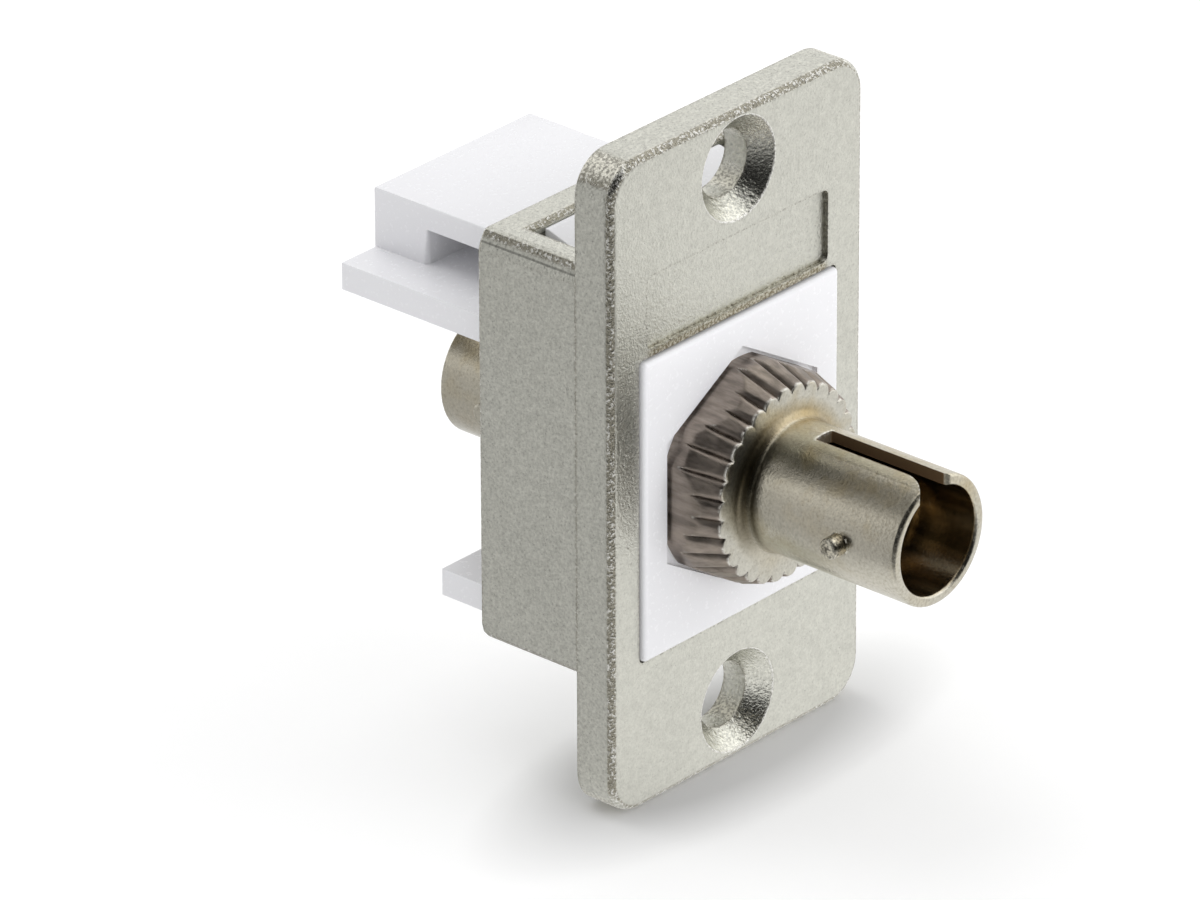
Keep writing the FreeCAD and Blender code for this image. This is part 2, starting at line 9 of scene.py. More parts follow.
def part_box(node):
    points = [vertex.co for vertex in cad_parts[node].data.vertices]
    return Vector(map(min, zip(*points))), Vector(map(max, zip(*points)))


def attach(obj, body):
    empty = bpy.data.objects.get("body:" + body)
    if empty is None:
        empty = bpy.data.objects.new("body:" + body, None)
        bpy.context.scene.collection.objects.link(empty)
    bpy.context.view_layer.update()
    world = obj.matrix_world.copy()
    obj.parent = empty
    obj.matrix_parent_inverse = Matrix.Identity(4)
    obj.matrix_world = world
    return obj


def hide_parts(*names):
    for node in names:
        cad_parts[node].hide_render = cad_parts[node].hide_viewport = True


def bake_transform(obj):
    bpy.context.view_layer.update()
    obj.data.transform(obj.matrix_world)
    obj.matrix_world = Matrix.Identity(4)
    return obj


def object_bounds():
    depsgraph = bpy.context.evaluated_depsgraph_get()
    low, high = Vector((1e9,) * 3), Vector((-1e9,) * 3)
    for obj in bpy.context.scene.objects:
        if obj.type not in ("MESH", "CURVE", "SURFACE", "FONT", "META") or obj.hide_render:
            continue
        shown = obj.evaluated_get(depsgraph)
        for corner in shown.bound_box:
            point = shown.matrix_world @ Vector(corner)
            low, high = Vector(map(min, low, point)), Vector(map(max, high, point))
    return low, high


bl_info = {
    "name": "Fibre adapter looks",
    "version": (1, 0, 0),
    "blender": (4, 5, 0),
    "location": "View3D > Sidebar > Fibre Adapter",
    "description": "Materials, small parts and stage for a panel-mounted fibre adapter",
    "category": "Object",
}

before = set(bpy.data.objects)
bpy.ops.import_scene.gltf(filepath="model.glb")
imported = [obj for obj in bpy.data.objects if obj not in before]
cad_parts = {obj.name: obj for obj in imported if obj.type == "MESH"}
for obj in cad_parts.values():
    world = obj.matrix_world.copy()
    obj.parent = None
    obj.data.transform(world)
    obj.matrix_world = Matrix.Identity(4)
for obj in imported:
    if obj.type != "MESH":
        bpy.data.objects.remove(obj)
CAD_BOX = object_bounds()
MM = 0.001

# Places and sizes on the part, in metres

AXIS_Z = (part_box("adapter_body_front")[0][2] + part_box("adapter_body_front")[1][2]) / 2
FRONT_RIM_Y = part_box("adapter_body_front")[0][1]
SHANK_BACK_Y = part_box("adapter_body_front")[1][1]
KEYWAY_L = 7.3 * MM
KEYWAY_END_Y = FRONT_RIM_Y + KEYWAY_L
FLANGE_FRONT_Y = -5.64 * MM
SEAT_Y = -2.4 * MM
LABEL_STRIP = (AXIS_Z + 8.16 * MM, AXIS_Z + 8.56 * MM)
LABEL_HALF_W = 6.72 * MM
SCREW_Z = 14.5 * MM
SINK_R = 2.725 * MM
BOX_TOP_Z = 11.83 * MM

# The coupler's turned sizes, in millimetres

HOLDER_R = 2.17
BORE_R = 2.8
REAR_SEAT_R = 3.12
BARREL_R = 3.4
BARREL_BORE_L = 9.6
SHANK_R = 4.7
ROOT_FILLET_R = 0.55
FLANGE_FRONT_R = 5.15
FLANGE_BACK_R = 5.8
CONE_L = 2.09
HEXAGON_HALF_W = 5.45
FLANGE_INNER_R = 4.6
KNURL_ROUNDING = 0.14
KNURL_RING_INSET = 0.03
LUG_R = 0.55
LUG_L = 1.4
LUG_ROUNDING = 0.16
LUG_FROM_AXIS = 3.55
LUG_FROM_RIM = 3.5

SHARP_ANGLE = math.radians(32)


# Sizes and colours a user may change

class FinishSettings(bpy.types.PropertyGroup):
    cast_colour: FloatVectorProperty(
        name="Casting colour", description="Satin nickel of the bracket", subtype="COLOR",
        default=(0.69, 0.685, 0.615), min=0, max=1)
    plastic_colour: FloatVectorProperty(
        name="Plastic colour", description="White plastic of the insert and its latch", subtype="COLOR",
        default=(0.905, 0.905, 0.93), min=0, max=1)
    plating_colour: FloatVectorProperty(
        name="Plating colour", description="Warm nickel plating of the coupler", subtype="COLOR",
        default=(0.63, 0.61, 0.535), min=0, max=1)
    knurl_colour: FloatVectorProperty(
        name="Knurl colour", description="Darker plating on the flange's rough-cut sides", subtype="COLOR",
        default=(0.262, 0.225, 0.194), min=0, max=1)
    washer_colour: FloatVectorProperty(
        name="Washer colour", description="Zinc-plated spring steel", subtype="COLOR",
        default=(0.52, 0.52, 0.53), min=0, max=1)
    ceramic_colour: FloatVectorProperty(
        name="Ceramic colour", description="Polished zirconia of the sleeve", subtype="COLOR",
        default=(0.88, 0.87, 0.82), min=0, max=1)
    holder_colour: FloatVectorProperty(
        name="Holder colour", description="Plated brass of the sleeve holders", subtype="COLOR",
        default=(0.50, 0.43, 0.30), min=0, max=1)
    cast_grain: FloatProperty(
        name="Casting grain", description="Width of the casting's surface grain", subtype="DISTANCE",
        default=0.15 * MM, min=0.01 * MM, max=1 * MM, precision=5)


class CouplerSizes(bpy.types.PropertyGroup):
    steps: IntProperty(
        name="Turning steps", description="Steps round each turned piece", default=480, min=96, max=960)
    knurl_count: IntProperty(
        name="Knurls", description="Grooves round the flange", default=30, min=12, max=60)
    knurl_depth: FloatProperty(
        name="Knurl depth", description="Depth of the grooves at the flange's front", subtype="DISTANCE",
        default=0.30 * MM, min=0, max=0.5 * MM, precision=5)
    knurl_climb: FloatProperty(
        name="Knurl climb", description="Angle at which the grooves run out", subtype="ANGLE",
        default=math.radians(19.8))
    knurl_turn: FloatProperty(
        name="Knurl turn", description="Turn of the grooves against the hexagon", subtype="ANGLE",
        default=math.radians(3.0))


class StageSettings(bpy.types.PropertyGroup):
    camera_azimuth: FloatProperty(
        name="Camera azimuth", description="Turn of the camera about the upright", subtype="ANGLE",
        default=math.radians(-48.619))
    camera_elevation: FloatProperty(
        name="Camera elevation", description="Height angle of the camera", subtype="ANGLE",
        default=math.radians(26.485))
    camera_roll: FloatProperty(
        name="Camera roll", description="Turn of the camera about its own line of sight", subtype="ANGLE",
        default=math.radians(0.215))
    camera_distance: FloatProperty(
        name="Camera distance", description="From the plate's front to the camera", subtype="DISTANCE",
        default=522.554 * MM)
    lens: FloatProperty(
        name="Lens", description="Focal length on a 36 mm sensor", subtype="DISTANCE_CAMERA", default=321.015)
    key_power: FloatProperty(
        name="Key light", description="Power of the soft light at the upper right; the others follow it",
        subtype="POWER", default=0.7, min=0)
    floor_colour: FloatVectorProperty(
        name="Floor colour", description="Pale floor under the part", subtype="COLOR",
        default=(1.0, 1.0, 1.0), min=0, max=1)


# Shader helpers. Where one takes a value, that is a node's output or a plain number, vector or colour.

def feed(tree, socket, given):
    """Gives an input a node's output to follow, or a value of its own."""
    if isinstance(given, bpy.types.NodeSocket):
        tree.links.new(given, socket)
    elif socket.type == "RGBA":
        socket.default_value = (*given, 1.0)
    else:
        socket.default_value = given


def fill(tree, made, **values):
    """Gives a node's properties and inputs their values, by name."""
    for name, given in values.items():
        if hasattr(made, name):
            setattr(made, name, given)
        else:
            feed(tree, made.inputs[name.replace("_", " ")], given)


def node(tree, kind, *inputs, **values):
    """A shader node of that kind, with its first inputs in their order and others by name."""
    made = tree.nodes.new(kind)
    fill(tree, made, **values)
    for socket, given in zip(made.inputs, inputs):
        feed(tree, socket, given)
    return made


def calc(tree, operation, *given, **values):
    """The number that a maths node gives."""
    return node(tree, "ShaderNodeMath", *given, operation=operation, **values).outputs[0]


def vector_calc(tree, operation, *given):
    """The vector that a vector maths node gives, or the number for a length or a dot product."""
    made = node(tree, "ShaderNodeVectorMath", *given, operation=operation)
    return made.outputs["Value" if operation in ("LENGTH", "DOT_PRODUCT") else "Vector"]


def product(tree, *factors):
    """Several values multiplied; the first is a node's output."""
    total = factors[0]
    for factor in factors[1:]:
        total = calc(tree, "MULTIPLY", total, factor)
    return total


def gap(tree, value, place):
    """How far a value is from a place, to either side."""
    return calc(tree, "ABSOLUTE", calc(tree, "SUBTRACT", value, place))


def span(tree, value, low, high, to_low=0.0, to_high=1.0, **values):
    """Maps a value from one range to another, held at the ends."""
    return node(tree, "ShaderNodeMapRange", value, low, high, to_low, to_high, **values).outputs["Result"]


def reach(tree, value, start, low, high, to_low=0.0, to_high=1.0):
    """Maps a place or distance between two limits in millimetres from a start, held at the ends."""
    return span(tree, value, start + low * MM, start + high * MM, to_low, to_high)


def eased(tree, mask, full, none=1.0):
    """A factor that goes from one value to another as a mask goes from none to full."""
    return span(tree, mask, 0.0, 1.0, none, full)


def number_mix(tree, factor, first, second):
    """A number between two others."""
    made = node(tree, "ShaderNodeMix", factor)
    feed(tree, made.inputs[2], first)
    feed(tree, made.inputs[3], second)
    return made.outputs[0]


def colour_mix(tree, blend, factor, first, second):
    """A colour mixed from two others."""
    made = node(tree, "ShaderNodeMix", factor, data_type="RGBA", blend_type=blend)
    feed(tree, made.inputs[6], first)
    feed(tree, made.inputs[7], second)
    return made.outputs[2]


def layered(tree, colour, *layers):
    """A colour under further ones, each with its kind of mix and its mask, from the lowest to the uppermost."""
    for blend, mask, over in layers:
        colour = colour_mix(tree, blend, mask, colour, over)
    return colour


def on_object(tree):
    """Object coordinates."""
    return tree.nodes.new("ShaderNodeTexCoord").outputs["Object"]


def axes(tree, vector):
    """The X, Y and Z of a vector."""
    return node(tree, "ShaderNodeSeparateXYZ", vector).outputs


def mapped(tree, vector, scale, move=(0.0, 0.0, 0.0)):
    """A vector scaled, then moved."""
    return node(tree, "ShaderNodeMapping", vector, move, Scale=scale).outputs["Vector"]


def noise(tree, vector, scale, **values):
    """The height of a noise pattern."""
    return node(tree, "ShaderNodeTexNoise", Vector=vector, Scale=scale, **values).outputs["Fac"]


def wide_noise(tree, width, **values):
    """The height of a noise pattern on Object coordinates, with grains of about that width."""
    return noise(tree, on_object(tree), calc(tree, "DIVIDE", 1.0, width), **values)


def bump(tree, shader, height, distance, strength):
    """Raises a shader's surface by a height pattern."""
    relief = node(tree, "ShaderNodeBump", Strength=strength, Distance=distance, Height=height)
    feed(tree, shader.inputs["Normal"], relief.outputs["Normal"])


def new_material(name):
    """A node material with only its Principled shader; returns the material, its tree and the shader."""
    material = bpy.data.materials.new(name)
    material.use_nodes = True
    tree = material.node_tree
    return material, tree, tree.nodes["Principled BSDF"]


# Effects that several materials share, each a node group

def new_group(name, inputs, outputs):
    """An empty node group; returns it, what it is given and what it puts out."""
    group = bpy.data.node_groups.new(name, "ShaderNodeTree")
    for label, value in inputs.items():
        socket = group.interface.new_socket(label, in_out="INPUT", socket_type="NodeSocketFloat")
        socket.default_value = value
    for label in outputs:
        group.interface.new_socket(label, in_out="OUTPUT", socket_type="NodeSocketFloat")
    return group, group.nodes.new("NodeGroupInput").outputs, group.nodes.new("NodeGroupOutput").inputs


def surface_grain(name):
    """Fine grain of a surface: a height, and a mask of the grain's dark pits."""
    group, given, result = new_group(name, {"Grain Width": 0.1 * MM}, ("Height", "Pits"))
    height = wide_noise(group, given["Grain Width"], Detail=3.0, Roughness=0.6)
    feed(group, result["Height"], height)
    feed(group, result["Pits"], span(group, height, 0.42, 0.30))
    return group


def edge_mask(name):
    """A mask of the part's rounded and sharp edges, whole, and broken up into bright and dark specks that are painted
    glints.
    """
    group, given, result = new_group(name, {"Speckle Width": 0.15 * MM, "Reach": 0.3 * MM},
                                     ("Edge", "Bright Glints", "Dark Glints"))
    true_normal = group.nodes.new("ShaderNodeNewGeometry").outputs["True Normal"]
    rounded = node(group, "ShaderNodeBevel", samples=4, Radius=given["Reach"]).outputs["Normal"]
    edge = span(group, vector_calc(group, "DOT_PRODUCT", true_normal, rounded), 0.995, 0.90)
    speckle = wide_noise(group, given["Speckle Width"], Detail=2.0)
    feed(group, result["Edge"], edge)
    # Bright and dark specks along the edges: painted glints.
    for label, low, high in (("Bright Glints", 0.50, 0.60), ("Dark Glints", 0.46, 0.38)):
        feed(group, result[label], product(group, edge, span(group, speckle, low, high)))
    return group


def tone_change(name):
    """Broad, faint changes of tone over a surface, as a factor for its colour, and the patches that make them."""
    group, given, result = new_group(name, {"Patch Width": 3 * MM, "Depth": 0.05}, ("Tone", "Patches"))
    patches = wide_noise(group, given["Patch Width"], Detail=4.0, Roughness=0.55)
    feed(group, result["Tone"], calc(group, "SUBTRACT", 1.0, product(group, patches, given["Depth"])))
    feed(group, result["Patches"], patches)
    return group


EFFECTS = {"Surface Grain": surface_grain, "Edge Mask": edge_mask, "Tone Change": tone_change}


def placed(tree, name, **values):
    """The outputs of an effect placed in a material with its own values; its group is built at its first use."""
    group = bpy.data.node_groups.get(name) or EFFECTS[name](name)
    return node(tree, "ShaderNodeGroup", node_tree=group, **values).outputs


# Materials

def cast_nickel(finish):
    """Satin nickel on a zinc casting: a fine sandy grain, worn beige edges with painted glints, painted highlights on
    the plate's rounded corners and round the countersinks' rims, and a worn label strip.
    """
    material, tree, shader = new_material("Cast nickel")
    grain = placed(tree, "Surface Grain", Grain_Width=finish.cast_grain)["Height"]
    coarse = placed(tree, "Surface Grain", Grain_Width=finish.cast_grain * 2.4)["Height"]
    edge = placed(tree, "Edge Mask", Speckle_Width=0.16 * MM, Reach=0.26 * MM)
    tone = placed(tree, "Tone Change", Patch_Width=4 * MM, Depth=0.08)["Tone"]
    place = on_object(tree)
    masks = bracket_masks(tree, place)
    facing, corner, tip, sinks = masks["facing"], masks["corner"], masks["tip"], masks["sinks"]
    sharp = product(tree, edge["Edge"], span(tree, facing, 0.55, 1.0, 0.25, 1.0))
    worn = calc(tree, "MAXIMUM", sharp, masks["rounding"])
    rub = product(tree, worn, eased(tree, tip, 0.2, 0.85))
    # Bright specks on the worn edges, less metallic so that they stay light: painted glints.
    glints = product(tree, span(tree, grain, 0.52, 0.60), worn)
    # A thin, bright, less metallic ring round each countersink's rim on the front: a painted highlight.
    lip = product(tree, masks["lip"], span(tree, grain, 0.40, 0.54, 0.15, 0.9))
    beige = colour_mix(tree, "MIX", span(tree, grain, 0.46, 0.56), (0.25, 0.215, 0.14), (0.62, 0.59, 0.48))
    # A bright cream, less metallic patch on the plate's rounded corners: a painted highlight.
    corner_highlight = colour_mix(tree, "MULTIPLY", 1.0, (0.95, 0.92, 0.80), span(tree, grain, 0.42, 0.56, 0.42, 1.0))
    colour = layered(
        tree, finish.cast_colour,
        ("MULTIPLY", 1.0, tone),
        ("MULTIPLY", facing, span(tree, grain, 0.32, 0.68, 0.82, 1.18)),
        ("MULTIPLY", 1.0, span(tree, coarse, 0.30, 0.70, 0.93, 1.07)),
        ("MIX", label_strip(tree, place), beige),
        ("MULTIPLY", shoulder_line(tree, place), (0.5, 0.5, 0.5)),
        ("MIX", rub, (0.37, 0.345, 0.27)),
        # Dark specks along the edges: painted dark glints.
        ("MIX", edge["Dark Glints"], (0.22, 0.20, 0.17)),
        # Painted glints on the worn edges.
        ("MIX", glints, (0.88, 0.87, 0.82)),
        ("MIX", corner, corner_highlight),
        ("MIX", lip, (0.93, 0.92, 0.88)))
    metallic = product(tree, eased(tree, glints, 0.8), eased(tree, corner, 0.35), eased(tree, lip, 0.4))
    satin = number_mix(tree, worn, span(tree, grain, 0.3, 0.7, 0.26, 0.38), 0.22)
    polished = number_mix(tree, calc(tree, "MAXIMUM", sinks, tip), satin, 0.2)
    fill(tree, shader, Base_Color=colour, Metallic=metallic, Roughness=polished)
    relief = product(tree, calc(tree, "MULTIPLY_ADD", coarse, 0.7, grain),
                     calc(tree, "MULTIPLY_ADD", worn, 1.2, facing),
                     eased(tree, sinks, 0.75), eased(tree, tip, 0.4))
    bump(tree, shader, relief, 0.09 * MM, 0.8)
    return material


def bracket_masks(tree, place):
    """Masks of the bracket's rounded edges, countersinks and corners, and how strong its grain is on each face."""
    normal = tree.nodes.new("ShaderNodeNewGeometry").outputs["Normal"]
    flat = axes(tree, vector_calc(tree, "ABSOLUTE", normal))
    spot = axes(tree, place)
    largest = calc(tree, "MAXIMUM", calc(tree, "MAXIMUM", flat["X"], flat["Y"]), flat["Z"])
    shoulder = reach(tree, spot["Z"], BOX_TOP_Z, -0.50, -0.25, 0.0, 0.15)
    turned = calc(tree, "MAXIMUM", span(tree, flat["Y"], 0.1, 0.3),
                  span(tree, calc(tree, "ADD", flat["Z"], shoulder), 0.54, 0.64))
    rounding = product(tree, span(tree, largest, 0.985, 0.93), turned)
    from_screw = vector_calc(tree, "MULTIPLY_ADD", vector_calc(tree, "ABSOLUTE", place),
                             (1.0, 0.0, 1.0), (0.0, 0.0, -SCREW_Z))
    away = vector_calc(tree, "LENGTH", from_screw)
    outside = reach(tree, away, SINK_R, 0.05, 0.1)
    return {
        "rounding": product(tree, rounding, outside),
        "sinks": product(tree, rounding, reach(tree, away, SINK_R, 0.05, 0.0)),
        "corner": product(tree, span(tree, flat["Z"], 0.45, 0.75), span(tree, flat["X"], 0.2, 0.45),
                          span(tree, flat["Y"], 0.35, 0.12), reach(tree, spot["Y"], 0.0, 0.1, 0.0)),
        "tip": product(tree, outside, *(span(tree, flat[axis], 0.22, 0.36) for axis in "XYZ")),
        # Where a bright line is painted round each countersink's rim as a highlight.
        "lip": product(tree, reach(tree, away, SINK_R, -0.07, -0.03), reach(tree, away, SINK_R, 0.05, 0.02),
                       reach(tree, spot["Y"], SEAT_Y, 0.2, 0.1)),
        "facing": span(tree, flat["Y"], 0.9, 1.0, 1.0, 0.55),
    }


def shoulder_line(tree, place):
    """A mask of a thin line along the box's sides, under the rounding of its top, that is drawn darker."""
    spot = axes(tree, place)
    away = gap(tree, spot["Z"], BOX_TOP_Z - 0.58 * MM)
    return product(tree, reach(tree, away, 0.0, 0.07, 0.03), reach(tree, spot["Y"], 0.0, 0.05, 0.1))


def label_strip(tree, place):
    """A mask of the narrow, worn strip between the window and the label recess above it."""
    spot = axes(tree, place)
    low, high = LABEL_STRIP
    return product(tree, reach(tree, spot["Z"], low, -0.04, 0.02), reach(tree, spot["Z"], high, 0.08, -0.06),
                   reach(tree, calc(tree, "ABSOLUTE", spot["X"]), LABEL_HALF_W, 0.1, -0.3),
                   reach(tree, spot["Y"], SEAT_Y, 0.35, 0.3))


def white_plastic(finish):
    """Glossy white moulded plastic with a faint lilac cast."""
    material, tree, shader = new_material("White plastic")
    tone = placed(tree, "Tone Change", Patch_Width=6 * MM, Depth=0.008)["Tone"]
    grain = placed(tree, "Surface Grain", Grain_Width=0.25 * MM)["Height"]
    fill(tree, shader, Base_Color=colour_mix(tree, "MULTIPLY", 1.0, finish.plastic_colour, tone),
         Roughness=span(tree, grain, 0.3, 0.7, 0.25, 0.28), IOR=1.49)
    bump(tree, shader, grain, 0.004 * MM, 0.06)
    return material


def plated_metal(name, colour, roughness, peel_depth):
    """Plating over turned brass: orange peel, faint turning rings, burred edges with painted glints, a warm tint with
    a painted highlight on the barrel's top, painted shade in the barrel's root fillet, and browner where a bore is
    deep, with highlights painted there as streaks.
    """
    material, tree, shader = new_material(name)
    place = on_object(tree)
    spot = axes(tree, place)
    rings = noise(tree, mapped(tree, place, (150.0, 7000.0, 150.0)), 1.0, Detail=3.0)
    streaks = noise(tree, mapped(tree, place, (1000.0, 130.0, 1000.0)), 1.0, Detail=2.0)
    grain = placed(tree, "Surface Grain", Grain_Width=0.15 * MM)
    peel = grain["Height"]
    tone = placed(tree, "Tone Change", Patch_Width=2.0 * MM, Depth=0.14)
    edge = placed(tree, "Edge Mask", Speckle_Width=0.22 * MM, Reach=0.14 * MM)
    centred = mapped(tree, place, (1.0, 0.0, 1.0), (0.0, 0.0, -AXIS_Z))
    away = vector_calc(tree, "LENGTH", centred)
    beside = calc(tree, "ABSOLUTE", spot["X"])
    slim = reach(tree, away, 0.0, 3.6, 4.4, 0.35, 0.0)
    patchy = calc(tree, "MULTIPLY_ADD", span(tree, tone["Patches"], 0.48, 0.70), 0.55, slim, use_clamp=True)
    # Warm tint in random patches and round the root, almost three times as strong on the barrel's top as below:
    # partly stain, partly a painted warm highlight.
    warm_stain_and_top_highlight = product(tree, patchy, reach(tree, spot["Z"], AXIS_Z, -0.5, 2.6, 0.45, 1.3))
    # A darker, tan ring in the barrel's root fillet, heavier on top: painted shade in the corner.
    root_fillet_shade = product(tree, reach(tree, away, 0.0, 3.41, 3.5), reach(tree, away, 0.0, 4.5, 3.8),
                         reach(tree, spot["Z"], AXIS_Z, -3.0, 1.5, 0.25, 1.0))
    # A near-black patch in the root fillet on the left side only: painted shade.
    leftwards = vector_calc(tree, "DOT_PRODUCT", centred, (-0.985, 0.0, 0.17))
    left_root_shade = product(tree, reach(tree, away, 0.0, 4.3, 3.6), reach(tree, leftwards, 0.0, 1.6, 3.3),
                         reach(tree, gap(tree, spot["Y"], FLANGE_FRONT_Y), 0.0, 1.05, 0.6))
    # Random light and dark speckle on the lugs' ends, up to nearly half as light again: painted glints.
    lugs = product(tree, reach(tree, away, 0.0, 3.46, 3.5), reach(tree, spot["Y"], FLANGE_FRONT_Y, -1.0, -1.3))
    # A near-white ragged line at the keyway's rear end: a real burr, with its highlight painted on.
    keyway_burr_highlight = product(tree, reach(tree, gap(tree, spot["Y"], KEYWAY_END_Y + 0.04 * MM), 0.0, 0.13, 0.06),
                          reach(tree, spot["Z"], AXIS_Z, 3.22, 3.3), reach(tree, beside, 0.0, 0.78, 0.68),
                          span(tree, peel, 0.40, 0.48))
    keyway_walls = product(tree, reach(tree, beside, 0.0, 0.64, 0.62),
                           reach(tree, spot["Y"], KEYWAY_END_Y, 0.02, -0.02),
                           reach(tree, spot["Z"], AXIS_Z, 2.5, 2.6))
    # A darker, browner tint inside the bore, broken by lighter streaks along it, which are painted highlights.
    bore_tint_and_streak_highlights = colour_mix(tree, "MULTIPLY", 1.0, (0.70, 0.62, 0.51), span(tree, streaks, 0.35, 0.68, 0.55, 1.9))
    shown = layered(
        tree, colour,
        ("MULTIPLY", 1.0, tone["Tone"]),
        ("MULTIPLY", warm_stain_and_top_highlight, (0.92, 0.82, 0.63)),
        ("MULTIPLY", root_fillet_shade, (0.80, 0.73, 0.60)),
        ("MULTIPLY", left_root_shade, (0.24, 0.23, 0.20)),
        ("MULTIPLY", lugs, span(tree, peel, 0.40, 0.58, 0.35, 1.45)),
        ("MULTIPLY", 1.0, span(tree, peel, 0.3, 0.7, 0.86, 1.10)),
        ("MULTIPLY", grain["Pits"], (0.92, 0.90, 0.86)),
        # Dark and bright specks along the edges, the bright ones less metallic: painted glints.
        ("MIX", edge["Dark Glints"], [0.2 * part for part in colour]),
        ("MIX", edge["Bright Glints"], [min(1.0, 1.35 * part) for part in colour]),
        ("MIX", keyway_burr_highlight, (0.95, 0.93, 0.86)),
        ("MULTIPLY", reach(tree, away, 0.0, 2.88, 2.80), bore_tint_and_streak_highlights),
        ("MIX", keyway_walls, (0.15, 0.095, 0.05)))
    metallic = product(tree, eased(tree, edge["Bright Glints"], 0.4), eased(tree, keyway_walls, 0.3))
    turned = span(tree, rings, 0.3, 0.7, roughness * 0.92, roughness * 1.1)
    rough = calc(tree, "MULTIPLY_ADD", reach(tree, away, 0.0, 3.43, 3.55), roughness * 0.4, turned)
    fill(tree, shader, Base_Color=shown, Metallic=metallic, Roughness=rough)
    bump(tree, shader, calc(tree, "MULTIPLY_ADD", rings, 0.02, peel), peel_depth, 0.7)
    return material


def knurl_metal(finish):
    """The flange's rough-cut sides: dark, brownish plating with streaks along the grooves, and glints painted on its
    front and sharp edges.
    """
    material, tree, shader = new_material("Knurled plating")
    place = on_object(tree)
    streaks = noise(tree, mapped(tree, place, (2600.0, 500.0, 2600.0)), 1.0, Detail=4.0, Roughness=0.6)
    tone = placed(tree, "Tone Change", Patch_Width=1.1 * MM, Depth=0.3)["Tone"]
    grain = placed(tree, "Surface Grain", Grain_Width=0.35 * MM)["Height"]
    edge = placed(tree, "Edge Mask", Speckle_Width=0.25 * MM, Reach=0.07 * MM)["Bright Glints"]
    front = reach(tree, axes(tree, place)["Y"], FLANGE_FRONT_Y, 0.02, 0.16, 1.0, 0.0)
    # Bright, less metallic specks at the front edge and along the sharp edges: painted glints.
    glint = product(tree, front, span(tree, grain, 0.42, 0.56))
    colour = layered(
        tree, finish.knurl_colour,
        ("MIX", span(tree, streaks, 0.36, 0.66), [min(1.0, 2.0 * part) for part in finish.knurl_colour]),
        ("MULTIPLY", 1.0, tone),
        ("MIX", calc(tree, "MAXIMUM", glint, product(tree, edge, 0.55)), (0.86, 0.85, 0.79)))
    fill(tree, shader, Base_Color=colour, Metallic=eased(tree, glint, 0.25),
         Roughness=span(tree, streaks, 0.3, 0.7, 0.32, 0.5))
    bump(tree, shader, streaks, 0.03 * MM, 0.5)
    return material


def zirconia(finish):
    """Polished ceramic, slightly uneven in gloss and faintly clouded."""
    material, tree, shader = new_material("Zirconia")
    tone = placed(tree, "Tone Change", Patch_Width=1 * MM, Depth=0.05)
    fill(tree, shader, Base_Color=colour_mix(tree, "MULTIPLY", 1.0, finish.ceramic_colour, tone["Tone"]),
         Roughness=span(tree, tone["Patches"], 0.3, 0.7, 0.12, 0.2), IOR=2.0)
    return material


def dress(name, material):
    """Gives a carried-over node its material, in place of all that it came with."""
    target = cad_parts[name]
    target.data.materials.clear()
    target.data.materials.append(material)


# Mesh helpers

def mesh_of(name, work):
    """A mesh made from a bmesh, which is freed."""
    mesh = bpy.data.meshes.new(name)
    work.to_mesh(mesh)
    work.free()
    return mesh


def in_scene(name, data):
    """An object in the scene, made of that mesh, lamp or camera."""
    made = bpy.data.objects.new(name, data)
    bpy.context.scene.collection.objects.link(made)
    return made


def smooth_round(mesh):
    """Shades a mesh smooth where it is round, and keeps its real edges sharp."""
    mesh.polygons.foreach_set("use_smooth", [True] * len(mesh.polygons))
    mesh.set_sharp_from_angle(angle=SHARP_ANGLE)


def round_off(work, edges, width, segments=3):
    """Bevels edges by a width in millimetres."""
    bmesh.ops.bevel(work, geom=edges, offset=width * MM, offset_type="OFFSET", segments=segments, profile=0.5,
                    affect="EDGES", material=-1)


def spun(work, profile, steps):
    """Spins a closed outline of (radius, y) points, in millimetres, about the coupler's axis."""
    verts = [work.verts.new((r * MM, y * MM, AXIS_Z)) for r, y in profile]
    edges = [work.edges.new((a, b)) for a, b in zip(verts, verts[1:] + verts[:1])]
    bmesh.ops.spin(work, geom=verts + edges, cent=(0, 0, AXIS_Z), axis=(0, 1, 0), angle=math.tau, steps=steps,
                   use_merge=True)
    bmesh.ops.recalc_face_normals(work, faces=work.faces)


def extruded(work, outline, along):
    """Extrudes a flat outline of points along a vector, all in metres."""
    face = work.faces.new([work.verts.new(point) for point in outline])
    made = bmesh.ops.extrude_face_region(work, geom=[face])
    moved = [item for item in made["geom"] if isinstance(item, bmesh.types.BMVert)]
    bmesh.ops.translate(work, verts=moved, vec=along)


def arc(cx, cy, radius, start, end, count):
    """Points on an arc, in degrees, as (radius, y) pairs."""
    turns = [math.radians(start + (end - start) * step / count) for step in range(count + 1)]
    return [(cx + radius * math.cos(turn), cy + radius * math.sin(turn)) for turn in turns]


def cut_by(piece, cutter):
    """Cuts a piece with a closed cutter, applies the cut and removes the cutter."""
    cut = piece.modifiers.new("Cut", "BOOLEAN")
    cut.operation = "DIFFERENCE"
    cut.solver = "EXACT"
    cut.object = cutter
    graph = bpy.context.evaluated_depsgraph_get()
    result = bpy.data.meshes.new_from_object(piece.evaluated_get(graph))
    piece.modifiers.remove(cut)
    old = piece.data
    piece.data = result
    bpy.data.meshes.remove(old)
    bpy.data.objects.remove(cutter)


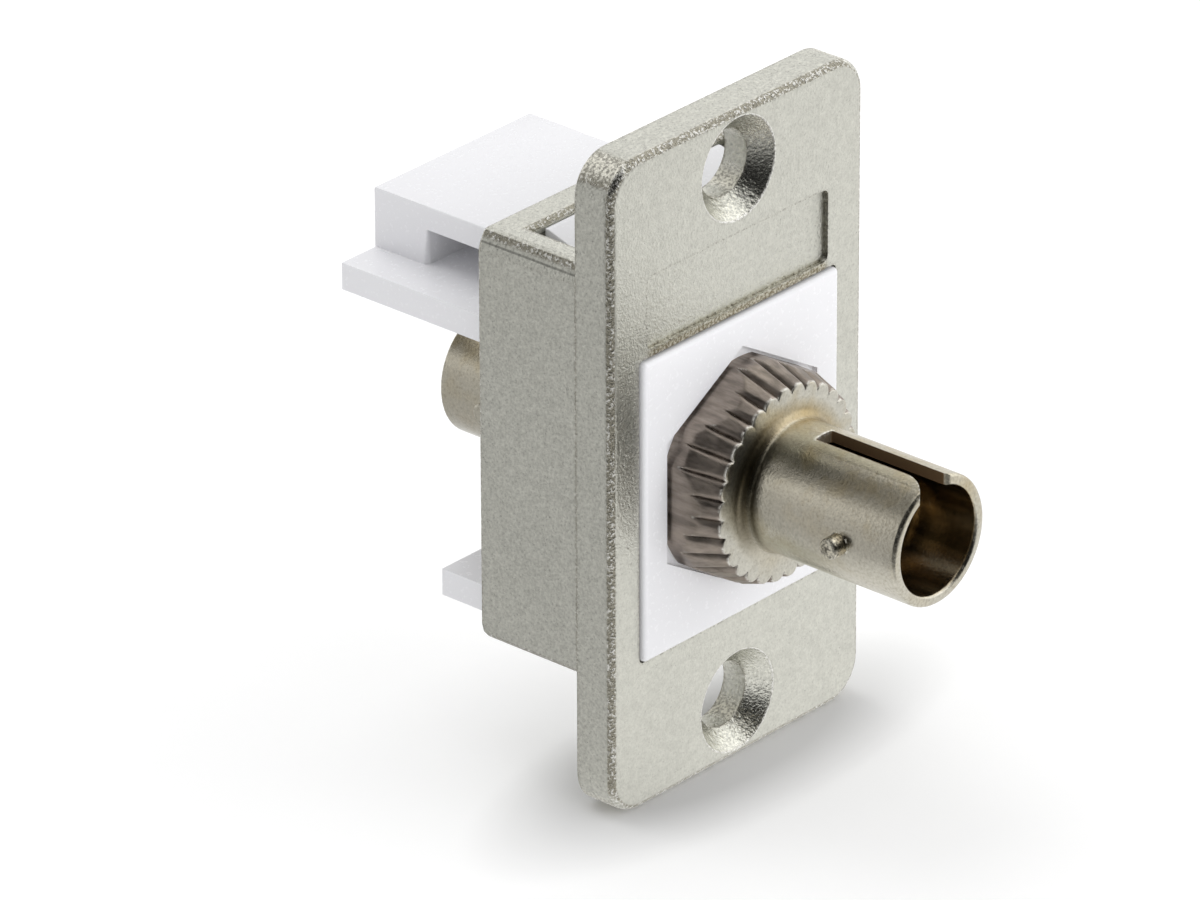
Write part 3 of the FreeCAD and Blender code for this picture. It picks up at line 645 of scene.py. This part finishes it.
def keyway_cutter():
    """The slot along the front barrel's top, swept wide on one side of its mouth and rounded on the other."""
    half, end, flare, flare_l, corner, past = 0.6, KEYWAY_L / MM, 2.1, 1.75, 0.45, -3.0
    swept = [(-half - (flare - math.sqrt(flare ** 2 - (flare_l - step) ** 2)), step)
             for step in (flare_l * part / 12 for part in range(13))]
    rounded = [(half + corner - corner * math.cos(turn), corner - corner * math.sin(turn))
               for turn in (math.pi / 2 * part / 8 for part in range(9))]
    outline = [(-half, end - 0.12), (-half + 0.035, end - 0.035), (-half + 0.12, end), (half - 0.12, end),
               (half - 0.035, end - 0.035), (half, end - 0.12), *rounded, (half + corner, past),
               (swept[0][0], past), *swept]
    work = bmesh.new()
    extruded(work, [(x * MM, FRONT_RIM_Y + along * MM, AXIS_Z) for x, along in outline], (0, 0, 7 * MM))
    bmesh.ops.recalc_face_normals(work, faces=work.faces)
    return in_scene("Keyway cutter", mesh_of("Keyway cutter", work))


def add_lugs(work):
    """Two bayonet lugs, each turned with a rounded head and sunk into the front barrel's wall."""
    for side in (-1, 1):
        barrel = set(work.verts)
        made = bmesh.ops.create_cone(work, cap_ends=True, segments=48, radius1=LUG_R * MM, radius2=LUG_R * MM,
                                     depth=LUG_L * MM)
        head = {vert for vert in made["verts"] if vert.co.z > 0}
        rim = [edge for edge in work.edges if edge.verts[0] in head and edge.verts[1] in head]
        round_off(work, rim, LUG_ROUNDING)
        lug = [vert for vert in work.verts if vert not in barrel]
        bmesh.ops.rotate(work, verts=lug, cent=(0, 0, 0), matrix=Matrix.Rotation(side * math.pi / 2, 3, "Y"))
        bmesh.ops.translate(work, verts=lug,
                            vec=(side * LUG_FROM_AXIS * MM, FRONT_RIM_Y + LUG_FROM_RIM * MM, AXIS_Z))


def slab(outline, half_w, width, broken=None):
    """A solid of one width from (y, z) points in millimetres, with rounded edges, and cut upright ones at broken."""
    work = bmesh.new()
    extruded(work, [(-half_w * MM, y * MM, z * MM) for y, z in outline], (2 * half_w * MM, 0, 0))
    if broken is not None:
        round_off(work, [edge for edge in work.edges
                         if all(abs(vert.co.y - broken * MM) < 1e-7 for vert in edge.verts)
                         and abs(edge.verts[0].co.z - edge.verts[1].co.z) > 0.5 * MM], 0.22, segments=1)
    bmesh.ops.recalc_face_normals(work, faces=work.faces)
    round_off(work, [edge for edge in work.edges if len(edge.link_faces) == 2
                     and edge.calc_face_angle() > 0.3 and edge.calc_length() > 0.15 * MM], width)
    return work


def flange_radius(turn, behind, sizes):
    """The flange's radius in millimetres at an angle, and at a distance behind its front face."""
    cone_r = min(FLANGE_FRONT_R + (FLANGE_BACK_R - FLANGE_FRONT_R) * behind / CONE_L, FLANGE_BACK_R)
    from_flat = (turn + math.pi / 6) % (math.pi / 3) - math.pi / 6
    hexagon_r = HEXAGON_HALF_W / math.cos(from_flat)
    pitch = math.tau / sizes.knurl_count
    groove = round((turn - sizes.knurl_turn) / pitch) % sizes.knurl_count
    from_groove = abs((turn - sizes.knurl_turn + pitch / 2) % pitch - pitch / 2) / (pitch / 2)
    depth = sizes.knurl_depth / MM * (1 + 0.16 * math.sin(12.9 * groove))
    bottom = FLANGE_FRONT_R - depth + math.tan(sizes.knurl_climb) * behind
    crown = bottom + depth * 1.1 * math.sin(math.pi / 2 * from_groove) ** 0.65
    if behind < KNURL_ROUNDING:
        crown -= KNURL_ROUNDING - math.sqrt(KNURL_ROUNDING ** 2 - (KNURL_ROUNDING - behind) ** 2)
    return min(cone_r, hexagon_r, crown)


def coupler_profile(rows):
    """The outline of the coupler's front half before it is knurled, as (radius, y) points in millimetres."""
    rim, front, seat, back = (y / MM for y in (FRONT_RIM_Y, FLANGE_FRONT_Y, SEAT_Y, SHANK_BACK_Y))
    bore_end, knurled = rim + BARREL_BORE_L, front + KNURL_ROUNDING
    return [
        (HOLDER_R, 0.5), (HOLDER_R, bore_end), (BORE_R, bore_end), (BORE_R, rim + 0.2), (2.815, rim + 0.13),
        (2.86, rim + 0.06), (2.93, rim + 0.015), (3.0, rim), (3.16, rim), (3.25, rim + 0.02),
        (3.33, rim + 0.065), (3.38, rim + 0.13), (BARREL_R, rim + 0.2),
        *arc(BARREL_R + ROOT_FILLET_R, front - ROOT_FILLET_R, ROOT_FILLET_R, 180, 90, 8),
        (4.5, front), (5.0, front),
        *((FLANGE_FRONT_R, front + step) for step in (0.01, 0.035, 0.08, KNURL_ROUNDING)),
        *((FLANGE_FRONT_R, knurled + (seat - knurled) * part / rows) for part in range(1, rows + 1)),
        (SHANK_R, seat), (SHANK_R, back - 0.3), (SHANK_R - 0.3, back), (REAR_SEAT_R, back), (REAR_SEAT_R, 0.5)]


def knurl(work, sizes):
    """Moves the vertices of the flange's outside to its hexagon, cone and knurl grooves."""
    flange_l = (SEAT_Y - FLANGE_FRONT_Y) / MM
    for vert in work.verts:
        across = Vector((vert.co.x, 0, vert.co.z - AXIS_Z))
        behind = (vert.co.y - FLANGE_FRONT_Y) / MM
        radius = across.length / MM
        if -0.01 < behind < flange_l + 0.01 and radius > FLANGE_INNER_R + 0.2:
            wanted = flange_radius(math.atan2(across.z, across.x), max(0.0, behind), sizes)
            if radius < FLANGE_FRONT_R - 0.05:
                wanted -= KNURL_RING_INSET
            vert.co = Vector((0, vert.co.y, AXIS_Z)) + across.normalized() * wanted * MM


# Operators

class FIBRE_OT_bracket(bpy.types.Operator):
    """Gives the cast bracket its satin nickel"""
    bl_idname = "fibre.bracket"
    bl_label = "Bracket"

    def execute(self, context):
        dress("mounting_frame", cast_nickel(context.scene.fibre_finish))
        return {"FINISHED"}


class FIBRE_OT_insert(bpy.types.Operator):
    """Gives the moulded insert its white plastic"""
    bl_idname = "fibre.insert"
    bl_label = "Insert"

    def execute(self, context):
        dress("keystone_housing", white_plastic(context.scene.fibre_finish))
        return {"FINISHED"}


class FIBRE_OT_latch(bpy.types.Operator):
    """Moulds the latch arm in one with the top of its root block, without a seam, with cuts across the arm just in
    front of the block
    """
    bl_idname = "fibre.latch"
    bl_label = "Latch arm"

    def execute(self, context):
        arm = [(16.236, 6.5), (16.236, 9.855), (2.5, 9.855), (2.5, 8.55), (12.775, 8.55), (12.775, 6.5)]
        work = slab(arm, 5.735, 0.08, broken=12.775)
        for step in range(9):
            bmesh.ops.bisect_plane(work, geom=work.verts[:] + work.edges[:] + work.faces[:],
                                   plane_co=(0, (12.6 - step * 0.2) * MM, 0), plane_no=(0, 1, 0))
        head = slab([(0.6, 8.56), (0.6, 10.3), (4.18, 11.5), (4.42, 11.5), (4.42, 8.56)], 6.42, 0.06)
        shape = mesh_of("Head", head)
        work.from_mesh(shape)
        bpy.data.meshes.remove(shape)
        piece = in_scene("latch_arm", mesh_of("latch_arm", work))
        piece.data.materials.append(bpy.data.materials["White plastic"])
        smooth_round(piece.data)
        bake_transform(piece)
        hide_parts("latch_lever")
        return {"FINISHED"}


class FIBRE_OT_front_coupler(bpy.types.Operator):
    """Turns the coupler's front half, with its knurled flange, slotted barrel and lugs"""
    bl_idname = "fibre.front_coupler"
    bl_label = "Front coupler"

    def execute(self, context):
        finish = context.scene.fibre_finish
        sizes = context.scene.fibre_coupler
        work = bmesh.new()
        spun(work, coupler_profile(rows=26), sizes.steps)
        knurl(work, sizes)
        piece = in_scene("front_coupler", mesh_of("front_coupler", work))
        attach(piece, "adapter")
        cut_by(piece, keyway_cutter())
        mesh = piece.data
        work = bmesh.new()
        work.from_mesh(mesh)
        add_lugs(work)
        work.to_mesh(mesh)
        work.free()
        smooth_round(mesh)
        mesh.materials.clear()
        mesh.materials.append(plated_metal("Warm nickel plating", finish.plating_colour, 0.22, 0.018 * MM))
        mesh.materials.append(knurl_metal(finish))
        for face in mesh.polygons:
            away = math.hypot(face.center.x, face.center.z - AXIS_Z)
            if away > FLANGE_INNER_R * MM and FLANGE_FRONT_Y + 0.05 * MM < face.center.y < SEAT_Y - 0.005 * MM:
                face.material_index = 1
        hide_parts("adapter_body_front")
        return {"FINISHED"}


class FIBRE_OT_coupler(bpy.types.Operator):
    """Gives the coupler's rear half, nut, washer, sleeve and holders their finishes"""
    bl_idname = "fibre.coupler"
    bl_label = "Coupler"

    def execute(self, context):
        finish = context.scene.fibre_finish
        plating = bpy.data.materials["Warm nickel plating"]
        dress("adapter_body_rear", plating)
        dress("hex_nut", plating)
        dress("lock_washer", plated_metal("Zinc-plated steel", finish.washer_colour, 0.3, 0.002 * MM))
        brass = plated_metal("Plated brass", finish.holder_colour, 0.28, 0.002 * MM)
        dress("front_sleeve_holder", brass)
        dress("rear_sleeve_holder", brass)
        dress("split_sleeve", zirconia(finish))
        return {"FINISHED"}


class FIBRE_OT_stage(bpy.types.Operator):
    """Sets up the camera, the soft lights, the pale surroundings and the floor"""
    bl_idname = "fibre.stage"
    bl_label = "Stage"

    def execute(self, context):
        stage = context.scene.fibre_stage
        place_camera(context.scene, stage)
        for lamp in LAMPS:
            place_lamp(stage, *lamp)
        pale_world(context.scene)
        pale_floor(stage)
        context.scene.view_settings.view_transform = "Standard"
        return {"FINISHED"}


# The stage. Each lamp has its place, width and share of the key light's power.

LAMPS = (("Key light", (0.36, -0.24, 0.32), 0.5, 1.0),
         ("Top light", (0.0, 0.22, 0.46), 0.4, 1.4),
         ("Front fill", (0.05, -0.5, 0.1), 0.5, 1.7))

# Fixed directions in which the studio is dimmer, or brighter where the last number is below nought: the direction,
# the cosines of the angles to the flag's edge and its heart, and how much it dims.

CAMERA_FLAG = ((-0.64, -0.70, 0.31), 0.38, 0.62, 0.97)
FRONT_FLAG = ((-0.10, -0.99, 0.05), 0.70, 0.92, 0.85)
CEILING_FLAG = ((-0.28, 0.59, 0.75), 0.80, 0.96, 0.76)
KEY_PANEL = ((0.67, -0.43, 0.57), 0.62, 0.95, -0.55)
FLOOR_FLAG = ((-0.675, -0.738, 0.0), 0.55, 0.85, 0.92)
SIDE_FLAG = ((-0.60, 0.60, -0.50), 0.40, 0.95, 0.485)

SIGHT_ASIDE = 6.740 * MM
SIGHT_BELOW = 0.600 * MM
WORLD_LIGHT = 0.56
FLOOR_CAMERA_GLOW = 0.25
FLOOR_MIRROR_GLOW = 0.88


def place_camera(scene, stage):
    """A long lens from the upper left, its line of sight just beside the plate's middle."""
    azimuth, elevation = stage.camera_azimuth, stage.camera_elevation
    ahead = Vector((-math.sin(azimuth) * math.cos(elevation), math.cos(azimuth) * math.cos(elevation),
                    -math.sin(elevation)))
    turn = Matrix.Rotation(stage.camera_roll, 3, ahead)
    level = ahead.cross(Vector((0, 0, 1))).normalized()
    down = turn @ ahead.cross(level)
    level = turn @ level
    offset = level * SIGHT_ASIDE - down * SIGHT_BELOW + ahead * stage.camera_distance
    plate_front = Vector((0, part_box("mounting_frame")[0][1], 0))
    data = bpy.data.cameras.new("Camera")
    data.lens = stage.lens
    data.sensor_width = 36.0
    data.clip_start = 0.01
    camera = in_scene("Camera", data)
    facing = Matrix((level, -down, -ahead)).transposed()
    camera.matrix_world = Matrix.Translation(plate_front - offset) @ facing.to_4x4()
    scene.camera = camera


def place_lamp(stage, name, place, width, share):
    """A square soft light that faces the part and isn't seen in reflections."""
    data = bpy.data.lights.new(name, "AREA")
    data.size = width
    data.energy = stage.key_power * share
    lamp = in_scene(name, data)
    lamp.location = place
    lamp.rotation_euler = (-Vector(place)).to_track_quat("-Z", "Y").to_euler()
    lamp.visible_glossy = False


def studio_brightness(tree, outward, *flags):
    """How bright the studio is in a direction, as metal shows it: pale, and dimmer towards each soft-edged flag."""
    shares = []
    for direction, edge, heart, depth in flags:
        towards = vector_calc(tree, "DOT_PRODUCT", outward, Vector(direction).normalized())
        shares.append(span(tree, towards, edge, heart, 1.0, 1.0 - depth, interpolation_type="SMOOTHSTEP"))
    return product(tree, *shares)


def pale_world(scene):
    """Pale surroundings: white to the camera, as bright as the studio in a reflection, dimmer as plain light."""
    scene.world = bpy.data.worlds.new("Pale surroundings")
    scene.world.use_nodes = True
    tree = scene.world.node_tree
    ray = tree.nodes.new("ShaderNodeLightPath").outputs
    outward = tree.nodes.new("ShaderNodeTexCoord").outputs["Generated"]
    studio = studio_brightness(tree, outward, CAMERA_FLAG, FRONT_FLAG, CEILING_FLAG, KEY_PANEL, SIDE_FLAG)
    mirrored = calc(tree, "MAXIMUM", ray["Is Glossy Ray"], ray["Is Transmission Ray"])
    light = number_mix(tree, mirrored, WORLD_LIGHT, studio)
    strength = number_mix(tree, ray["Is Camera Ray"], light, 1.0)
    fill(tree, tree.nodes["Background"], Color=(1, 1, 1), Strength=strength)


def pale_floor(stage):
    """A wide pale floor just under the plate's lower edge; it is near white to the camera, keeps the shadow, and has
    a contact shadow painted at the plate's foot.
    """
    work = bmesh.new()
    bmesh.ops.create_grid(work, x_segments=1, y_segments=1, size=3.0)
    bmesh.ops.translate(work, verts=work.verts, vec=(0, 0, CAD_BOX[0][2] - 0.02 * MM))
    floor = in_scene("Floor", mesh_of("Floor", work))
    material, tree, shader = new_material("Pale floor")
    fill(tree, shader, Base_Color=stage.floor_colour, Roughness=0.9)
    place = on_object(tree)
    ray = tree.nodes.new("ShaderNodeLightPath").outputs
    outward = vector_calc(tree, "NORMALIZE", place)
    beside = vector_calc(tree, "MULTIPLY_ADD", place, (1.0, 1.0, 0.0), (10 * MM, 0.0, 0.0))
    wedge = studio_brightness(tree, vector_calc(tree, "NORMALIZE", beside), FLOOR_FLAG)
    spread = vector_calc(tree, "LENGTH", place)
    near = number_mix(tree, reach(tree, spread, 0.0, 28, 48), 1.0, wedge)
    far = number_mix(tree, reach(tree, spread, 0.0, 55, 90), near,
                     studio_brightness(tree, outward, CAMERA_FLAG, FRONT_FLAG))
    mirrored = product(tree, far, studio_brightness(tree, outward, SIDE_FLAG))
    # The glow that only the camera sees is cut to a tenth in an oval round the plate's foot, which paints a darker
    # contact shadow over the real one.
    from_foot = vector_calc(tree, "LENGTH", mapped(tree, place, (0.62, 1.6, 0.0), (0.0, 1.9 * MM, 0.0)))
    seen = product(tree, reach(tree, from_foot, 0.0, 5, 11, 0.1, 1.0), reach(tree, spread, 0.0, 40, 200, 1.32, 1.9))
    glow = node(tree, "ShaderNodeEmission", Strength=number_mix(tree, ray["Is Glossy Ray"], seen, mirrored))
    share = calc(tree, "MAXIMUM", product(tree, ray["Is Camera Ray"], FLOOR_CAMERA_GLOW),
                 product(tree, ray["Is Glossy Ray"], FLOOR_MIRROR_GLOW))
    surface = node(tree, "ShaderNodeMixShader", share, shader.outputs[0], glow.outputs[0])
    feed(tree, tree.nodes["Material Output"].inputs["Surface"], surface.outputs[0])
    floor.data.materials.append(material)


class FIBRE_PT_panel(bpy.types.Panel):
    """Lists the part's pieces and settings in the sidebar"""
    bl_idname = "FIBRE_PT_panel"
    bl_label = "Fibre Adapter"
    bl_space_type = "VIEW_3D"
    bl_region_type = "UI"
    bl_category = "Fibre Adapter"

    def draw(self, context):
        column = self.layout.column()
        for piece in PIECES:
            column.operator(piece.bl_idname)
        for settings in (context.scene.fibre_finish, context.scene.fibre_coupler, context.scene.fibre_stage):
            for name in settings.bl_rna.properties.keys():
                if name not in ("name", "rna_type"):
                    column.prop(settings, name)


PIECES = (FIBRE_OT_bracket, FIBRE_OT_insert, FIBRE_OT_latch, FIBRE_OT_front_coupler, FIBRE_OT_coupler,
          FIBRE_OT_stage)
CLASSES = (FinishSettings, CouplerSizes, StageSettings, *PIECES, FIBRE_PT_panel)


def register():
    for cls in CLASSES:
        bpy.utils.register_class(cls)
    bpy.types.Scene.fibre_finish = PointerProperty(type=FinishSettings)
    bpy.types.Scene.fibre_coupler = PointerProperty(type=CouplerSizes)
    bpy.types.Scene.fibre_stage = PointerProperty(type=StageSettings)


def unregister():
    del bpy.types.Scene.fibre_stage
    del bpy.types.Scene.fibre_coupler
    del bpy.types.Scene.fibre_finish
    for cls in reversed(CLASSES):
        bpy.utils.unregister_class(cls)


def main():
    """Makes every piece and the stage."""
    register()
    bpy.ops.fibre.bracket()
    bpy.ops.fibre.insert()
    bpy.ops.fibre.latch()
    bpy.ops.fibre.front_coupler()
    bpy.ops.fibre.coupler()
    bpy.ops.fibre.stage()


if __name__ == "__main__":
    main()
